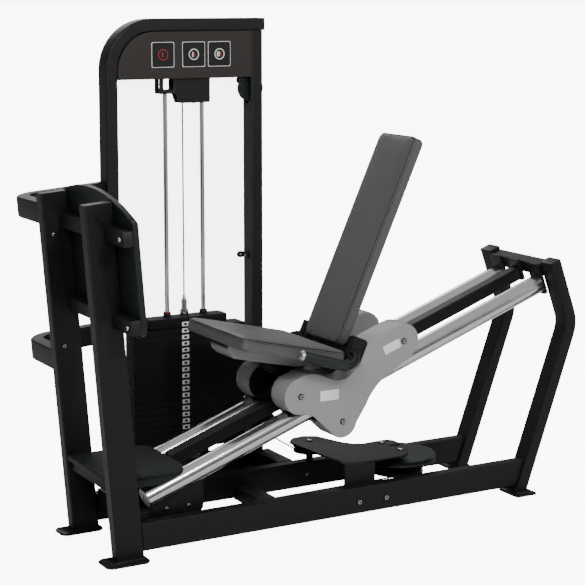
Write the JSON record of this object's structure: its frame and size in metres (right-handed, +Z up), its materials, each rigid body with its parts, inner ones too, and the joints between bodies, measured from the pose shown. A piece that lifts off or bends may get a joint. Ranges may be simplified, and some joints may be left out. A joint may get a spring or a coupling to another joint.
{
  "type": "leg press machine",
  "caption": "Seated leg press: a padded carriage on rollers climbs two inclined rails and lifts a pin-selected weight stack through cables and pulleys.",
  "frame": {"origin": "middle of the machine's footprint on the floor", "axes": "+X from the foot plate to the rear posts, +Y towards the weight stack tower, +Z up"},
  "size_m": [2.0512, 0.887, 1.8305],
  "materials": {
    "frame": "satin charcoal black powder coat",
    "tower": "satin dark grey powder coat",
    "foot_plate": "satin dark teal-grey powder coat",
    "chrome": "polished hard chrome",
    "shroud": "satin mid grey powder coat",
    "pad": "fine-grained dark grey upholstery vinyl",
    "plates": "black painted weight plates",
    "header": "satin brown-grey panel",
    "shield": "clear guard sheet",
    "pulley": "dark teal-black nylon",
    "cable": "black nylon-coated steel cable",
    "grip": "soft black grip",
    "step": "textured dark teal coat",
    "pin": "dark red knob on a steel pin"
  },
  "bodies": {
    "frame": {"base_tube_near": "frame", "base_tube_far": "frame", "front_upright_near": "frame", "front_upright_far": "frame", "rear_post_near": "frame", "rear_post_far": "frame", "rear_cross_bar": "frame", "upper_cross_tube": "frame", "lower_cross_tube": "frame", "upper_link_arm": "frame", "lower_link_arm": "frame", "spine_beam": "frame", "rail_foot_beam": "frame", "low_cross_beam": "frame", "low_pulley_bracket": "frame", "tower_base_beam_left": "frame", "tower_base_beam_right": "frame", "stack_base": "frame", "foot_plate": "foot_plate", "step_plate": "step", "rail_near": "chrome", "rail_far": "chrome", "guide_rod_left": "chrome", "guide_rod_right": "chrome", "tower_bow": "tower", "tower_right_column": "tower", "top_pulley_bracket": "tower", "header_panel": "header", "shield_panel": "shield", "resting_plate": "plates", "cable_stack_run": "cable", "weight_cable": "cable", "carriage_cable_low": "cable", "carriage_cable_run": "cable"},
    "stack": {"head_plate": "plates", "lifted_plates": "plates", "selector_stem": "chrome"},
    "pin": {"selector_pin": "pin"},
    "carriage": {"carriage_frame": "frame", "carriage_pod_near": "shroud", "carriage_pod_far": "shroud", "seat_pan": "shroud", "seat_pad": "pad", "back_pad": "pad", "grip_near": "grip", "grip_far": "grip"},
    "top_pulley": {"top_pulley": "pulley"},
    "column_pulley": {"column_pulley": "pulley"},
    "base_pulley": {"base_pulley": "pulley"},
    "side_pulley": {"side_pulley": "pulley"},
    "compound_pulley": {"compound_pulley": "pulley"},
    "front_pulley": {"front_pulley": "pulley"},
    "roller_front_near": {"roller_front_near": "pulley"},
    "roller_front_far": {"roller_front_far": "pulley"},
    "roller_low_near": {"roller_low_near": "pulley"},
    "roller_low_far": {"roller_low_far": "pulley"},
    "roller_rear_near": {"roller_rear_near": "pulley"},
    "roller_rear_far": {"roller_rear_far": "pulley"}
  },
  "joints": [
    {"name": "carriage_slide", "type": "slide", "parent": "frame", "child": "carriage", "axis": [0.9401, 0, 0.341], "range_m": [0, 0.45]},
    {"name": "stack_lift", "type": "slide", "parent": "frame", "child": "stack", "axis": [0, 0, 1], "range_m": [0, 0.675], "deforming": ["cable_stack_run"]},
    {"name": "selector_pin_slide", "type": "slide", "parent": "stack", "child": "pin", "axis": [0, -1, 0], "range_m": [0, 0.06]},
    {"name": "top_pulley_spin", "type": "hinge", "parent": "frame", "child": "top_pulley", "pos_m": [-0.2872, 0.3955, 1.56], "axis": [0, 1, 0], "range_deg": [0, 860.44]},
    {"name": "column_pulley_spin", "type": "hinge", "parent": "frame", "child": "column_pulley", "pos_m": [-0.0394, 0.3955, 1.56], "axis": [0, 1, 0], "range_deg": [0, 860.44]},
    {"name": "base_pulley_spin", "type": "hinge", "parent": "frame", "child": "base_pulley", "pos_m": [0.0056, 0.3505, 0.231], "axis": [1, 0, 0], "range_deg": [-860.44, 0]},
    {"name": "side_pulley_spin", "type": "hinge", "parent": "frame", "child": "side_pulley", "pos_m": [0.0636, 0.1095, 0.176], "axis": [0, 0, 1], "range_deg": [0, 667.8]},
    {"name": "compound_pulley_spin", "type": "hinge", "parent": "frame", "child": "compound_pulley", "pos_m": [0.3356, -0.0935, 0], "axis": [0, 0, 1], "range_deg": [-269.57, 0]},
    {"name": "front_pulley_spin", "type": "hinge", "parent": "frame", "child": "front_pulley", "pos_m": [-0.7014, -0.1335, 0.123], "axis": [0, 1, 0], "range_deg": [0, 573.96]},
    {"name": "roller_front_near_spin", "type": "hinge", "parent": "carriage", "child": "roller_front_near", "pos_m": [-0.188, -0.2065, 0.48717], "axis": [0, 1, 0], "range_deg": [0, 567.66]},
    {"name": "roller_front_far_spin", "type": "hinge", "parent": "carriage", "child": "roller_front_far", "pos_m": [-0.188, 0.0545, 0.48717], "axis": [0, 1, 0], "range_deg": [0, 567.66]},
    {"name": "roller_low_near_spin", "type": "hinge", "parent": "carriage", "child": "roller_low_near", "pos_m": [-0.0121, -0.2065, 0.3744], "axis": [0, 1, 0], "range_deg": [-567.66, 0]},
    {"name": "roller_low_far_spin", "type": "hinge", "parent": "carriage", "child": "roller_low_far", "pos_m": [-0.0121, 0.0545, 0.3744], "axis": [0, 1, 0], "range_deg": [-567.66, 0]},
    {"name": "roller_rear_near_spin", "type": "hinge", "parent": "carriage", "child": "roller_rear_near", "pos_m": [0.25185, -0.2065, 0.64674], "axis": [0, 1, 0], "range_deg": [0, 567.66]},
    {"name": "roller_rear_far_spin", "type": "hinge", "parent": "carriage", "child": "roller_rear_far", "pos_m": [0.25185, 0.0545, 0.64674], "axis": [0, 1, 0], "range_deg": [0, 567.66]}
  ],
  "couplings": [
    {"joint": "stack_lift", "follows": "carriage_slide", "ratio": 1.5},
    {"joint": "top_pulley_spin", "follows": "carriage_slide", "rad_per_m": 33.333},
    {"joint": "column_pulley_spin", "follows": "carriage_slide", "rad_per_m": 33.333},
    {"joint": "base_pulley_spin", "follows": "carriage_slide", "rad_per_m": -33.333},
    {"joint": "side_pulley_spin", "follows": "carriage_slide", "rad_per_m": 25.862},
    {"joint": "compound_pulley_spin", "follows": "carriage_slide", "rad_per_m": -10.417},
    {"joint": "front_pulley_spin", "follows": "carriage_slide", "rad_per_m": 22.222},
    {"joint": "roller_front_near_spin", "follows": "carriage_slide", "rad_per_m": 21.978},
    {"joint": "roller_front_far_spin", "follows": "carriage_slide", "rad_per_m": 21.978},
    {"joint": "roller_low_near_spin", "follows": "carriage_slide", "rad_per_m": -21.978},
    {"joint": "roller_low_far_spin", "follows": "carriage_slide", "rad_per_m": -21.978},
    {"joint": "roller_rear_near_spin", "follows": "carriage_slide", "rad_per_m": 21.978},
    {"joint": "roller_rear_far_spin", "follows": "carriage_slide", "rad_per_m": 21.978}
  ]
}
